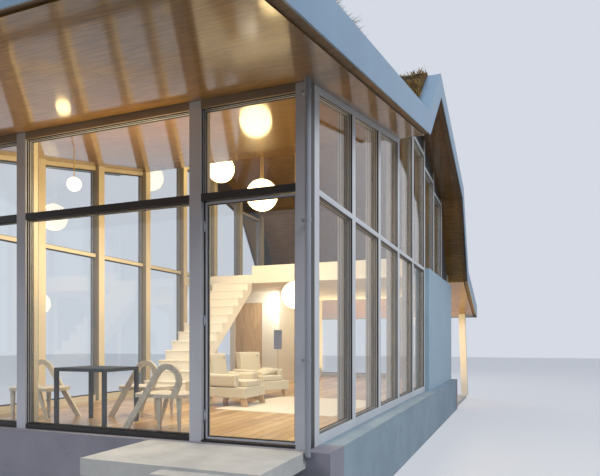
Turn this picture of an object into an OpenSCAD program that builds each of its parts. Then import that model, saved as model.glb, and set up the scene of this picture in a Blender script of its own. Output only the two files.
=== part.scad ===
// Beach house: a raised, glazed room with a folded grass roof, a porch behind and a landing in front.
// The origin is on the ground, under the middle of the roof. The front faces -Y.

/* [House] */
// Width over the side walls
house_w = 5500; // [5000:10:6200]
// Height of the finished floor above the ground
floor_h = 880; // [800:10:1000]
// Distance from one side post to the next
bay = 1405; // [1350:5:1500]
// Distance from the front wall's face to the middle of the first side post
first_post = 235; // [230:1:260]
// Width of a wall post, and the depth of the corner posts
post_w = 150; // [120:5:160]
// Depth of the inner front posts
front_post_d = 200; // [150:5:220]
// Depth of a side post, from outside to inside
side_post_d = 200; // [160:5:220]
// Distance from the right corner to the middle of the door post
door_post_at = 1352; // [1250:2:1500]
// Distance from the right corner to the middle of the far front post
far_post_at = 3938; // [3700:2:4100]
// Thickness of a sheet of glass
glass_t = 12; // [8:1:24]

/* [Rails] */
// Height of the transom's top above the floor
transom_top = 2725; // [2600:5:2850]
// Height of the front transom
front_transom_h = 82; // [60:2:110]
// Height of a side transom
side_transom_h = 65; // [50:5:90]
// Depth of the rails
rail_d = 120; // [90:5:130]
// Height of the front head rail
front_head_h = 85; // [70:5:140]
// Height of a side head rail
side_head_h = 70; // [50:5:100]
// Height of a front sill rail
front_sill_h = 60; // [45:5:110]
// Height of a side or rear sill rail
sill_h = 110; // [80:5:140]
// Height of the door's flat threshold
threshold_h = 23; // [18:1:30]
// Heights of the three stepped window tops behind the ridge, above the floor
step_tops = [5190, 4940, 4720];
// How far the solid side panels stand out from the posts
panel_out = 90; // [40:5:120]
// Thickness of the dark gable panels
infill_t = 60; // [40:5:80]

/* [Roof] */
// Soffit height at the front eave, above the floor
eave_z = 3197; // [3100:1:3250]
// Soffit height at the valley, above the floor
valley_z = 4654; // [4600:1:4720]
// Soffit height at the ridge, above the floor
ridge_z = 5871; // [5800:1:5950]
// Soffit height at the rear knee, above the floor
knee_z = 4885; // [4850:1:4950]
// Soffit height over the rear wall, above the floor
rear_z = 2814; // [2800:1:2900]
// Soffit height at the porch eave, above the floor
porch_z = 1915; // [1850:1:2000]
// Overhang of the roof past each side wall
side_over = 556; // [500:2:620]
// Overhang of the roof in front of the front wall
front_over = 2760; // [2650:10:2800]
// Depth of the porch roof behind the rear wall
porch_over = 3520; // [3400:10:3600]
// Thickness of the roof, square to its slope
roof_t = 377; // [340:1:420]
// Thickness of the soffit boards
board_t = 20; // [15:1:30]
// Width of the open groove between the soffit boards and the edge trim
groove_w = 100; // [60:5:120]
// Thickness of the folded metal edge trim
trim_t = 20; // [12:1:25]
// Width of the trim's flange on top of the roof
flange_w = 260; // [200:5:300]
// Height that the grass mat stands above the flange
grass_h = 60; // [40:5:90]
// Shadow gap between soffit boards at a fold
board_gap = 6; // [4:1:10]

/* [Base] */
// Ledge of the plinth past the side walls
ledge = 263; // [200:1:280]
// Plinth in front of the front wall's face
plinth_front = 107; // [90:1:110]
// Drop from the floor to the plinth's top
ledge_drop = 13; // [10:1:25]
// Thickness of the front and rear plinth walls
plinth_t = 463; // [400:1:500]
// Thickness of the floor slab
slab_t = 200; // [150:5:250]
// Thickness of the floor boards
floor_board_t = 22; // [18:1:28]
// Width of the landing, from the right corner
landing_w = 1892; // [1700:2:2000]
// Depth of the landing from the plinth
landing_d = 1055; // [1000:5:1100]
// Thickness of the landing slab
landing_t = 165; // [140:5:200]
// How far the landing's foot is set back under the slab
landing_back = 300; // [200:5:350]
// Width of the entry steps
steps_w = 960; // [900:5:1100]
// Depth of the first, shallow tread
first_tread = 190; // [150:5:250]
// Drop from the landing to the first tread
first_drop = 27; // [15:1:40]
// Depth of the other treads
tread = 280; // [260:5:290]
// Number of treads under the first one
tread_n = 4; // [4:1:4]

/* [Porch and pipe] */
// Top of the porch deck above the ground
deck_z = 100; // [80:5:140]
// Width of a porch column
column_w = 210; // [180:5:240]
// How far a column's foot leans out
column_lean = 95; // [60:5:110]
// Outside diameter of the downpipe
pipe_d = 63; // [50:1:75]
// Wall of the downpipe
pipe_wall = 3; // [2:0.5:4]

/* [Inside] */
// Height of the gallery floor above the ground floor
gallery_z = 2575; // [2500:5:2600]
// Thickness of the gallery floor
gallery_t = 190; // [185:5:200]
// Height of the gallery's low parapet
parapet_h = 190; // [150:5:250]
// Number of stair risers
riser_n = 14; // [13:1:15]
// Depth of a stair tread
going = 220; // [210:2:230]
// Width of the stair
stair_w = 893; // [850:1:950]
// Distance from the right corner to the stair
stair_at = 3572; // [3400:2:3620]
// Height of the dining table
table_h = 748; // [720:2:780]
// Seat height of a dining chair
chair_seat_h = 445; // [420:5:470]
// Depth of the dining table, from front to back
table_d = 680; // [600:10:900]
// Diameter of a large pendant globe
globe_d = 620; // [560:10:660]

/* [Hidden] */

half_w = house_w / 2;
half_post = post_w / 2;
post_n = 9;
function post_y(i) = first_post + i * bay;
house_l = post_y(post_n - 1) + half_post;
plinth_z = floor_h - ledge_drop;
mid_y = (house_l + porch_over - front_over) / 2;
inner_w = house_w - 2 * side_post_d;
touch = 0.3;

// Points of the soffit line, from the front eave to the porch eave, as [y, z]
FOLDS = [
    [-front_over, floor_h + eave_z],
    [post_y(3), floor_h + valley_z],
    [post_y(4), floor_h + ridge_z],
    [post_y(7), floor_h + knee_z],
    [house_l, floor_h + rear_z],
    [house_l + porch_over, floor_h + porch_z]
];
fold_n = len(FOLDS);

function unit(v) = v / norm(v);
function along(i) = unit(FOLDS[i + 1] - FOLDS[i]);
function up(i) = [-along(i).y, along(i).x];
// A fold point moved out by t, square to both slopes; the two eaves are cut plumb
function fold_at(i, t) =
    i == 0 ? FOLDS[0] + [0, t / up(0).y] :
    i == fold_n - 1 ? FOLDS[i] + [0, t / up(i - 1).y] :
    FOLDS[i] + t * (up(i - 1) + up(i)) / (1 + up(i - 1) * up(i));
// Height of the line through slope i at a given y
function line_z(i, y) =
    FOLDS[i].y + (y - FOLDS[i].x) * along(i).y / along(i).x;
function slope_at(y) = len([for (i = [1 : fold_n - 2]) if (y > FOLDS[i].x) i]);
// Where a piece under slope i ends, just short of the soffit
function under_z(i, y) = line_z(i, y) - touch;
function soffit_z(y) = under_z(slope_at(y), y);

module place() translate([0, -mid_y, 0]) children();
// An outline in the Y-Z plane, extruded from x0 to x1
module across(x0, x1) translate([x0, 0, 0]) rotate([90, 0, 90]) linear_extrude(x1 - x0) children();
module both_sides() { children(); mirror([1, 0, 0]) children(); }
module block(x0, x1, y0, y1, z0, z1) translate([x0, y0, z0]) cube([x1 - x0, y1 - y0, z1 - z0]);

// Base

plinth_y0 = plinth_t - plinth_front;
plinth_y1 = house_l - plinth_t;

module plinth_ends() color("#83838f") place() {
    x = half_w + ledge;
    block(-x, x, -plinth_front, plinth_y0, 0, plinth_z);
    block(-x, x, plinth_y1, house_l, 0, plinth_z);
}

module plinth_sides() color("#83949f") place() both_sides()
    block(inner_w / 2, half_w + ledge, plinth_y0, plinth_y1, 0, plinth_z);

module floor_slab() color("#9a9a98") place()
    block(-inner_w / 2, inner_w / 2, plinth_y0, plinth_y1,
          floor_h - floor_board_t - slab_t, floor_h - floor_board_t);

module floor_boards() color("#b98f5e") place()
    block(-inner_w / 2, inner_w / 2, plinth_y0, plinth_y1, floor_h - floor_board_t, floor_h);

module landing() color("#b2b2ae") place() {
    back = -plinth_front;
    front = back - landing_d;
    block(half_w - landing_w, half_w, front, back, plinth_z - landing_t, plinth_z);
    block(half_w - landing_w + landing_back, half_w - landing_back,
          front + landing_back, back, 0, plinth_z - landing_t);
}

// Outline of the entry steps, stepping down towards the front from the landing's edge
steps_y = -plinth_front - landing_d;
function step_y(i) = steps_y - first_tread - i * tread;

module entry_steps() color("#b7b8b6") place() {
    top = plinth_z - first_drop;
    rise = top / (tread_n + 1);
    across(half_w - steps_w, half_w) polygon(concat(
        [[steps_y, 0], [steps_y, top]],
        [for (i = [0 : tread_n], k = [0, 1]) [step_y(i), top - (i + k) * rise]]));
}

// Front wall

front_xs = [half_w - half_post, half_w - door_post_at, half_w - far_post_at, -half_w + half_post];
front_glass_y = half_post;
front_head_z = soffit_z(0) - front_head_h;
transom_z = floor_h + transom_top;

module front_posts() color("#918c98") place() for (i = [0 : 3]) {
    d = i == 0 || i == 3 ? post_w : front_post_d;
    across(front_xs[i] - half_post, front_xs[i] + half_post)
        polygon([[0, plinth_z], [d, plinth_z], [d, soffit_z(d)], [0, soffit_z(0)]]);
}

// The gap between front posts i and i + 1, counted from the right corner
function gap_x0(i) = front_xs[i + 1] + half_post;
function gap_x1(i) = front_xs[i] - half_post;
module front_rails() color("#4b4543") place() {
    for (i = [0 : 2]) {
        across(gap_x0(i), gap_x1(i))
            polygon([[0, front_head_z], [rail_d, front_head_z],
                     [rail_d, soffit_z(rail_d)], [0, soffit_z(0)]]);
        block(gap_x0(i), gap_x1(i), 0, rail_d, transom_z - front_transom_h, transom_z);
        low_h = i == 0 ? threshold_h : front_sill_h;
        block(gap_x0(i), gap_x1(i), 0, rail_d, plinth_z, plinth_z + low_h);
    }
    block(gap_x0(0), jamb_x, jamb_y0, axis_y + leaf_t,
          plinth_z + threshold_h + touch, transom_z - front_transom_h - touch);
}

module front_pane(i, z0, z1)
    block(gap_x0(i), gap_x1(i), front_glass_y - glass_t / 2, front_glass_y + glass_t / 2, z0, z1);

module front_glass() color("#c8dce4", 0.35) place() for (i = [0 : 2]) {
    front_pane(i, transom_z, front_head_z - touch);
    if (i > 0) front_pane(i, plinth_z + front_sill_h, transom_z - front_transom_h - touch);
}

// Entrance door, hung on three hinges at the door post

hinge_r = 9;
pin_r = 4;
bore_gap = 0.2;
hinge_off = 14;
knuckle_h = 60;
lug_h = 28;
knuckle_gap = 0.5;
wing_t = 5;
wing_w = 28;
leaf_t = 44;
leaf_gap = 8;
stile_w = 22;
axis_x = gap_x0(0) + hinge_off;
axis_y = 52;
leaf_x0 = axis_x + hinge_r + 5;
leaf_x1 = gap_x1(0) - leaf_gap;
leaf_z0 = plinth_z + threshold_h + leaf_gap;
leaf_z1 = transom_z - front_transom_h - leaf_gap;
hinge_zs = [for (k = [0.1, 0.5, 0.9]) leaf_z0 + k * (leaf_z1 - leaf_z0)];
// A strip behind the hinges closes the gap between the post and the leaf
jamb_x = leaf_x0 - 6;
jamb_y0 = axis_y + hinge_r + 6;

module door_hinges() color("#b9bbc0") place() for (z = hinge_zs) {
    translate([axis_x, axis_y, z - knuckle_h / 2 - lug_h])
        cylinder(r = pin_r, h = knuckle_h + 2 * lug_h, $fn = 32);
    for (side = [-1, 1]) translate([axis_x, axis_y, z + side * (knuckle_h + lug_h) / 2 - lug_h / 2]) {
        cylinder(r = hinge_r, h = lug_h, $fn = 32);
        translate([-hinge_off, -wing_t / 2, 0]) cube([hinge_off, wing_t, lug_h]);
    }
}

module door_knuckle(z) translate([axis_x, axis_y, z - knuckle_h / 2 + knuckle_gap]) {
    h = knuckle_h - 2 * knuckle_gap;
    cylinder(r = hinge_r, h = h, $fn = 32);
    translate([hinge_r / 2, -wing_t / 2, 0]) cube([wing_w, wing_t, h]);
}

module door_frame() color("#8e8a95") place() difference() {
    union() {
        difference() {
            block(leaf_x0, leaf_x1, axis_y, axis_y + leaf_t, leaf_z0, leaf_z1);
            block(leaf_x0 + stile_w, leaf_x1 - stile_w, axis_y - 1, axis_y + leaf_t + 1,
                  leaf_z0 + stile_w, leaf_z1 - stile_w);
        }
        for (z = hinge_zs) door_knuckle(z);
    }
    translate([axis_x, axis_y, leaf_z0]) cylinder(r = pin_r + bore_gap, h = leaf_z1 - leaf_z0, $fn = 32);
}

module door_glass() color("#c8dce4", 0.35) place()
    block(leaf_x0 + stile_w, leaf_x1 - stile_w,
          axis_y + (leaf_t - glass_t) / 2, axis_y + (leaf_t + glass_t) / 2,
          leaf_z0 + stile_w, leaf_z1 - stile_w);

// Side walls: bay i runs from post i to post i + 1

SIDES = [1, -1];
side_glass_x = half_w - rail_d / 2;
// The lower bays are glazed one further on the left side than on the right
function glazed_n(s) = s > 0 ? 5 : 6;
module on_side(s) mirror([s > 0 ? 0 : 1, 0, 0]) children();
function bay_y0(i) = post_y(i) + half_post;
function bay_y1(i) = post_y(i + 1) - half_post;
function post_top(i, y) = i == 3 ? under_z(0, y) : soffit_z(y);

module side_posts() color("#8f8b96") place() both_sides() for (i = [0 : post_n - 1]) {
    y0 = post_y(i) - half_post;
    y1 = post_y(i) + half_post;
    ridge = i == 4 || i == 7 ? [[post_y(i), soffit_z(post_y(i))]] : [];
    across(half_w - side_post_d, half_w)
        polygon(concat([[y0, plinth_z], [y1, plinth_z], [y1, post_top(i, y1)]], ridge,
                       [[y0, post_top(i, y0)]]));
}

// Top of the upper window in bay i at y: a head rail follows the slope in front of the ridge
function head_z(i, y) = i > 3 ? floor_h + step_tops[i - 4] : soffit_z(y) - side_head_h / up(slope_at(y)).y;

module side_bar(i, z0, z1) block(half_w - rail_d, half_w, bay_y0(i), bay_y1(i), z0, z1);

module side_rails() color("#a3a1ad") place() for (s = SIDES) on_side(s) {
    for (i = [0 : glazed_n(s) - 1]) {
        side_bar(i, plinth_z, plinth_z + sill_h);
        side_bar(i, transom_z - side_transom_h, transom_z);
    }
    for (i = [0 : 3]) across(half_w - rail_d, half_w)
        polygon([[bay_y0(i), head_z(i, bay_y0(i))], [bay_y1(i), head_z(i, bay_y1(i))],
                 [bay_y1(i), soffit_z(bay_y1(i))], [bay_y0(i), soffit_z(bay_y0(i))]]);
    for (i = [4 : 6]) side_bar(i, head_z(i, 0), head_z(i, 0) + side_head_h);
}

module side_sheet() across(side_glass_x - glass_t / 2, side_glass_x + glass_t / 2) children();

module side_glass_lower() color("#c8dce4", 0.35) place() for (s = SIDES) on_side(s)
    for (i = [0 : glazed_n(s) - 1]) side_sheet() polygon([
        [bay_y0(i), plinth_z + sill_h], [bay_y1(i), plinth_z + sill_h],
        [bay_y1(i), transom_z - side_transom_h - touch],
        [bay_y0(i), transom_z - side_transom_h - touch]]);

module side_glass_upper() color("#c8dce4", 0.35) place() both_sides()
    for (i = [0 : 6]) side_sheet() polygon([
        [bay_y0(i), transom_z], [bay_y1(i), transom_z],
        [bay_y1(i), head_z(i, bay_y1(i)) - touch], [bay_y0(i), head_z(i, bay_y0(i)) - touch]]);

// The solid panels stand in front of the last posts, on the plinth's ledge
module side_panels() color("#86a4ba") place() for (s = SIDES) on_side(s)
    block(half_w, half_w + panel_out, bay_y0(glazed_n(s)), house_l, plinth_z, transom_z);

module infill(i, z0) across(side_glass_x - infill_t / 2, side_glass_x + infill_t / 2) polygon([
    [bay_y0(i), z0], [bay_y1(i), z0], [bay_y1(i), soffit_z(bay_y1(i))], [bay_y0(i), soffit_z(bay_y0(i))]]);

module gable_infills() color("#34363a") place() for (s = SIDES) on_side(s) {
    for (i = [4 : 6]) infill(i, head_z(i, 0) + side_head_h);
    infill(7, plinth_z);
    for (i = [glazed_n(s) : 6])
        block(side_glass_x - infill_t / 2, side_glass_x + infill_t / 2,
              bay_y0(i), bay_y1(i), plinth_z, transom_z);
}

// Rear wall, under the porch roof

rear_xs = [half_w - door_post_at, -half_w + door_post_at];
rear_x = half_w - side_post_d;
rear_y0 = house_l - post_w;

function rear_top(y) = under_z(3, y);

module rear_posts() color("#8f8b96") place() for (x = rear_xs)
    across(x - half_post, x + half_post)
        polygon([[rear_y0, plinth_z], [house_l, plinth_z],
                 [house_l, rear_top(house_l)], [rear_y0, rear_top(rear_y0)]]);

rear_gaps = [
    [-rear_x, rear_xs[1] - half_post],
    [rear_xs[1] + half_post, rear_xs[0] - half_post],
    [rear_xs[0] + half_post, rear_x]
];
rear_head_z = floor_h + rear_z - sill_h;

module rear_rails() color("#8f8b96") place() for (g = rear_gaps) {
    block(g[0], g[1], house_l - rail_d, house_l, plinth_z, plinth_z + sill_h);
    across(g[0], g[1]) polygon([
        [house_l - rail_d, rear_head_z], [house_l, rear_head_z],
        [house_l, rear_top(house_l)], [house_l - rail_d, rear_top(house_l - rail_d)]]);
}

module rear_glass() color("#c8dce4", 0.35) place() for (g = rear_gaps)
    block(g[0], g[1], house_l - (rail_d + glass_t) / 2, house_l - (rail_d - glass_t) / 2,
          plinth_z + sill_h, rear_head_z - touch);

// Roof

roof_x = half_w + side_over;

// A layer of slope i between heights t0 and t1 over the soffit line, shortened by s0 and s1 at its ends
module layer(i, t0, t1, s0, s1) polygon([
    fold_at(i, t0) + s0 * along(i), fold_at(i + 1, t0) - s1 * along(i),
    fold_at(i + 1, t1) - s1 * along(i), fold_at(i, t1) + s0 * along(i)]);

module roof_plate(i) color("#5c4a33") place() {
    x = roof_x - trim_t;
    s0 = i == 0 ? trim_t : 0;
    s1 = i == fold_n - 2 ? trim_t : 0;
    across(-x, x) layer(i, board_t + touch, roof_t - trim_t - touch, s0, s1);
}
module roof_front() roof_plate(0);
module roof_rise() roof_plate(1);
module roof_back() roof_plate(2);
module roof_steep() roof_plate(3);
module roof_porch() roof_plate(4);

module soffit_boards() color("#8a6740") place() for (i = [0 : fold_n - 2]) {
    x = roof_x - trim_t - groove_w;
    s0 = i == 0 ? groove_w : board_gap / 2;
    s1 = i == fold_n - 2 ? groove_w : board_gap / 2;
    across(-x, x) layer(i, 0, board_t, s0, s1);
}

module roof_grass() color("#5b4a2a") place() for (i = [0 : fold_n - 2]) {
    x = roof_x - flange_w;
    s0 = i == 0 ? flange_w : board_gap / 2;
    s1 = i == fold_n - 2 ? flange_w : board_gap / 2;
    across(-x, x) layer(i, roof_t - trim_t, roof_t + grass_h, s0, s1);
}

// The trim along each side: an upright band and a flange folded onto the roof
module fold_band(t0, t1) polygon(concat(
    [for (i = [0 : fold_n - 1]) fold_at(i, t0)],
    [for (i = [fold_n - 1 : -1 : 0]) fold_at(i, t1)]));

module trim_sides() color("#8ba3c0") place() both_sides() {
    across(roof_x - trim_t, roof_x) fold_band(0, roof_t);
    across(roof_x - flange_w, roof_x) fold_band(roof_t - trim_t, roof_t);
}

module trim_end(i, dir, slope) {
    low = FOLDS[i];
    top = fold_at(i, roof_t);
    mid = fold_at(i, roof_t - trim_t);
    in = dir * along(slope);
    across(-roof_x + trim_t, roof_x - trim_t)
        polygon([low, low + trim_t * in, mid + trim_t * in, mid]);
    across(-roof_x + flange_w, roof_x - flange_w) {
        polygon([low, low + trim_t * in, top + trim_t * in, top]);
        polygon([mid, mid + flange_w * in, top + flange_w * in, top]);
    }
}

module trim_ends() color("#8ba3c0") place() {
    trim_end(0, 1, 0);
    trim_end(fold_n - 1, -1, fold_n - 2);
}

// Porch and downpipe

deck_x = half_w + 200;
column_y = house_l + porch_over - trim_t - groove_w - column_w;
column_x = half_w + 190 - column_w / 2;
function column_top(y) = under_z(4, y);

module porch_deck() color("#e4e2dc") place()
    block(-deck_x, deck_x, house_l, house_l + porch_over - groove_w, 0, deck_z);

// A raked column: its top is cut to the porch soffit
module porch_columns() color("#ece9e2") place() both_sides() difference() {
    x0 = column_x - column_w / 2;
    y0 = column_y - column_w / 2;
    high = column_top(y0);
    translate([0, y0 + column_w, 0]) rotate([90, 0, 0]) linear_extrude(column_w)
        polygon([[x0 + column_lean, deck_z], [x0 + column_lean + column_w, deck_z],
                 [x0 + column_w, high], [x0, high]]);
    across(x0 - column_w, x0 + 2 * column_w) polygon([
        [y0, high], [y0 + 2 * column_w, column_top(y0 + 2 * column_w)],
        [y0 + 2 * column_w, high + column_w], [y0, high + column_w]]);
}

pipe_x = half_w + 40;
pipe_y = -plinth_front - pipe_d / 2 - 6;
pipe_z0 = plinth_z - 40;
clip_h = 30;
clip_t = 4;
clip_zs = [for (k = [0.25, 0.62, 0.96]) pipe_z0 + k * (soffit_z(pipe_y) - pipe_z0)];

module pipe_under_soffit(r) difference() {
    top = soffit_z(pipe_y) + pipe_d;
    translate([pipe_x, pipe_y, pipe_z0]) cylinder(r = r, h = top - pipe_z0, $fn = 48);
    across(pipe_x - pipe_d, pipe_x + pipe_d) polygon([
        [pipe_y - pipe_d, soffit_z(pipe_y - pipe_d)], [pipe_y + pipe_d, soffit_z(pipe_y + pipe_d)],
        [pipe_y + pipe_d, top + pipe_d], [pipe_y - pipe_d, top + pipe_d]]);
}

module downpipe() color("#918c98") place() {
    difference() {
        pipe_under_soffit(pipe_d / 2);
        translate([pipe_x, pipe_y, pipe_z0 - 1])
            cylinder(r = pipe_d / 2 - pipe_wall, h = soffit_z(pipe_y) - pipe_z0 - pipe_d, $fn = 48);
    }
    for (z = clip_zs) difference() {
        union() {
            translate([pipe_x, pipe_y, z]) cylinder(r = pipe_d / 2 + clip_t, h = clip_h, $fn = 48);
            block(half_w - clip_h, half_w + clip_h / 2, pipe_y, 0, z, z + clip_h);
        }
        translate([pipe_x, pipe_y, z - 1]) cylinder(r = pipe_d / 2 + touch, h = clip_h + 2, $fn = 48);
    }
}

// Stair, gallery and partition

stair_x1 = half_w - stair_at;
stair_x0 = stair_x1 - stair_w;
gallery_y = post_y(4);
riser = gallery_z / riser_n;
stair_y0 = gallery_y - (riser_n - 1) * going;
stair_drop = 360;

// The lowest steps stand on a solid foot, and the flight above it is a slab
stair_foot = 1045;

module stair_flight() color("#e9e2d2") place() across(stair_x0, stair_x1) {
    foot_y = stair_y0 + stair_foot;
    under = gallery_z - stair_drop;
    polygon(concat(
        [[foot_y, floor_h], [stair_y0, floor_h]],
        [for (i = [0 : riser_n - 2], k = [0, 1])
            [stair_y0 + (i + k) * going, floor_h + (i + 1) * riser]],
        [[gallery_y, floor_h + under],
         [foot_y, floor_h + under - (gallery_y - foot_y) * riser / going]]));
}

module gallery_floor() color("#e9e3d3") place()
    block(-inner_w / 2, inner_w / 2, gallery_y, rear_y0,
          floor_h + gallery_z - gallery_t, floor_h + gallery_z);

module gallery_parapet() color("#f0ead9") place()
    block(stair_x1, inner_w / 2, gallery_y, gallery_y + 100,
          floor_h + gallery_z, floor_h + gallery_z + parapet_h);

partition_off = 740;
partition_y = post_y(5) + partition_off;
partition_t = 100;
partition_w = 1440;
partition_x1 = -inner_w / 2 + partition_w;
door_inset = 150;
door_x0 = -inner_w / 2 + door_inset;
door_w = 800;
door_h = 2110;

module partition() color("#ebe2cc") place() difference() {
    union() {
        block(-inner_w / 2, partition_x1, partition_y, partition_y + partition_t,
              floor_h, floor_h + gallery_z - gallery_t);
        block(partition_x1 - partition_t, partition_x1, partition_y, rear_y0,
              floor_h, floor_h + gallery_z - gallery_t);
    }
    block(door_x0, door_x0 + door_w, partition_y - 1, partition_y + partition_t + 1,
          floor_h - 1, floor_h + door_h);
}

module partition_door() color("#a9764a") place()
    block(door_x0, door_x0 + door_w, partition_y + 20, partition_y + partition_t - 20,
          floor_h, floor_h + door_h);

// Furniture

table_at = 2882;
table_w = 832;
table_x1 = half_w - table_at;
table_x0 = table_x1 - table_w;
table_y0 = 320;
table_y1 = table_y0 + table_d;
table_t = 45;
leg_w = 46;

module table_top() color("#46536a") place()
    block(table_x0, table_x1, table_y0, table_y1, floor_h + table_h - table_t, floor_h + table_h);

module table_legs() color("#46536a") place()
    for (x = [table_x0, table_x1 - leg_w], y = [table_y0, table_y1 - leg_w])
        block(x, x + leg_w, y, y + leg_w, floor_h, floor_h + table_h - table_t);

// Each chair as [x, y, turn]; at turn 0 it faces -X
CHAIRS = [
    [half_w - 2240, 640, 0],
    [half_w - 3180, 1475, 0],
    [half_w - 4308, 750, 188]
];
seat_r = 395;
seat_x = 82;
seat_t = 44;
hoop_t = 35;
hoop_w = 75;
hoop_off = 275;
arch_r = 163;
arch_x = 270;
arch_z = 626;
arch_end = -26;
return_l = 148;
foot_x = -350;
seat_half = hoop_off - hoop_t / 2 - touch;

module at_chair(c) translate([c[0], c[1], floor_h]) rotate(c[2]) children();

module chair_seats() color("#c9c4b2") place() for (c = CHAIRS) at_chair(c)
    translate([seat_x, 0, chair_seat_h - seat_t]) intersection() {
        cylinder(r = seat_r, h = seat_t, $fn = 64);
        translate([-seat_r, -seat_half, 0]) cube([2 * seat_r, 2 * seat_half, seat_t]);
    }

// Side view of a hoop: a slanting leg, an arch, and a short straight run back down to the seat
arc_n = 24;
function hoop_arc(r, tilt) = [for (i = [0 : arc_n])
    let (a = tilt + 90 - (tilt + 90 - arch_end) * i / arc_n) [arch_x + r * cos(a), arch_z + r * sin(a)]];
function reversed(v) = [for (i = [len(v) - 1 : -1 : 0]) v[i]];

module hoop_outline() {
    span = [arch_x - foot_x, arch_z];
    tilt = atan2(span.y, span.x) + asin(arch_r / norm(span));
    half = hoop_w / 2;
    outer = hoop_arc(arch_r + half, tilt);
    inner = hoop_arc(arch_r - half, tilt);
    run = return_l * [sin(arch_end), -cos(arch_end)];
    polygon(concat(
        [[foot_x - half / sin(tilt), 0]], outer, [outer[arc_n] + run, inner[arc_n] + run],
        reversed(inner), [[foot_x + half / sin(tilt), 0]]));
}

// The flat legs under a seat taper downwards; each as [x, y, how far its foot stands forward]
LEGS = [[90, -190, 0], [380, -190, 0], [380, 190, 0], [-50, 200, 135]];
leg_top = 64;
leg_foot = 30;
leg_t = 32;

module upright(t) rotate([90, 0, 0]) translate([0, 0, -t / 2]) linear_extrude(t) children();

// A chair has one hoop, at its left hand
module chair_frames() color("#8c8478") place() for (c = CHAIRS) at_chair(c) {
    translate([0, -hoop_off, 0]) upright(hoop_t) hoop_outline();
    for (leg = LEGS) translate([leg[0], leg[1], 0]) upright(leg_t) polygon([
        [-leg[2] - leg_foot / 2, 0], [-leg[2] + leg_foot / 2, 0],
        [leg_top / 2, chair_seat_h - seat_t - touch], [-leg_top / 2, chair_seat_h - seat_t - touch]]);
}

// Each armchair as [x, y, turn]; at turn 0 it faces +X
ARMCHAIRS = [
    [half_w - 2620, 3250, 0],
    [half_w - 2800, 4660, -24]
];
arm_seat_w = 530;
arm_w = 135;
base_x0 = -380;
base_x1 = 420;
arm_x1 = 255;
arm_z1 = 550;
base_z0 = 150;
base_z1 = 330;
cushion_t = 100;
back_t = 150;
back_z1 = 890;
back_lean = 110;
base_y = arm_seat_w / 2 + arm_w;

module at_armchair(c) translate([c[0], c[1], floor_h]) rotate(c[2]) children();

module armchair_bases() color("#c8bfa6") place() for (c = ARMCHAIRS) at_armchair(c)
    block(base_x0, base_x1, -base_y, base_y, base_z0, base_z1);

module armchair_arms() color("#d3cbb4") place() for (c = ARMCHAIRS) at_armchair(c)
    for (side = [-1, 1]) translate([0, side * (arm_seat_w + arm_w) / 2, 0])
        block(base_x0, arm_x1, -arm_w / 2, arm_w / 2, base_z1 + touch, arm_z1);

module armchair_backs() color("#cfc7ae") place() for (c = ARMCHAIRS) at_armchair(c)
    upright(arm_seat_w - 2 * touch) polygon([
        [base_x0, base_z1 + touch], [base_x0 + back_t, base_z1 + touch],
        [base_x0 + back_t / 2, back_z1], [base_x0 - back_lean, back_z1]]);

module armchair_cushions() color("#dcd5bf") place() for (c = ARMCHAIRS) at_armchair(c)
    block(base_x0 + back_t + touch, base_x1 - 20, -arm_seat_w / 2 + touch, arm_seat_w / 2 - touch,
          base_z1 + touch, base_z1 + cushion_t);

rug_t = 12;
rug_at = 2600;
rug_w = 2080;
rug_y0 = 2550;
rug_d = 2300;
rug_turn = -5;
module rug_mat() translate([half_w - rug_at, rug_y0, floor_h]) rotate(rug_turn)
    cube([rug_w, rug_d, rug_t]);

// Splayed feet: each leans outwards from under the base
foot_in = 70;
foot_w = 100;
foot_t = 60;
foot_lean = 45;

module armchair_feet() color("#8a6a48") place() difference() {
    for (c = ARMCHAIRS) at_armchair(c) for (end = [-1, 1], side = [-1, 1]) {
        x = end > 0 ? base_x1 - foot_in : base_x0 + foot_in;
        lean = end * foot_lean;
        translate([0, side * (base_y - foot_in), 0]) upright(foot_t) polygon([
            [x + lean - foot_w * 0.4, 0], [x + lean + foot_w * 0.4, 0],
            [x + foot_w / 2, base_z0 - touch], [x - foot_w / 2, base_z0 - touch]]);
    }
    rug_mat();
}

module rug() color("#ece7db") place() rug_mat();

// The floor lamp stands beside the inner wall
lamp_x = partition_x1 + 280;
lamp_y = partition_y - 700;
lamp_base_t = 15;
shade_z0 = 900;
shade_z1 = 1370;
shade_r = 100;

module floor_lamp() color("#6d7891") place() translate([lamp_x, lamp_y, floor_h]) {
    cylinder(r = shade_r + 10, h = lamp_base_t, $fn = 48);
    translate([0, 0, lamp_base_t + touch])
        cylinder(r = stem_r, h = shade_z0 - lamp_base_t - 2 * touch, $fn = 24);
    translate([0, 0, shade_z0]) cylinder(r = shade_r, h = shade_z1 - shade_z0, $fn = 48);
}

// Each pendant as [x, y, height of its middle above the floor, diameter]
PENDANTS = [
    [half_w - 2760, 4670, 3980, globe_d],
    [half_w - 4460, 6030, 5080, globe_d],
    [half_w - 2120, 4840, 2000, globe_d - 90],
    [half_w - 4200, 1190, 3440, 200]
];
stem_r = 7;
// The first pendant hangs on three thin rods, the others on one
rod_gap = 26;

module pendant_globes() color("#fff6df") place() for (p = PENDANTS)
    translate([p[0], p[1], floor_h + p[2]]) sphere(d = p[3], $fn = 48);

module pendant_stems() color("#c9b68a") place() for (i = [0 : len(PENDANTS) - 1]) {
    p = PENDANTS[i];
    z0 = floor_h + p[2] + p[3] / 2 + touch;
    z1 = min(soffit_z(p[1] - stem_r), soffit_z(p[1] + stem_r));
    for (k = i == 0 ? [-1, 0, 1] : [0])
        translate([p[0] + k * rod_gap, p[1], z0]) cylinder(r = stem_r, h = z1 - z0, $fn = 24);
}

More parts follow.
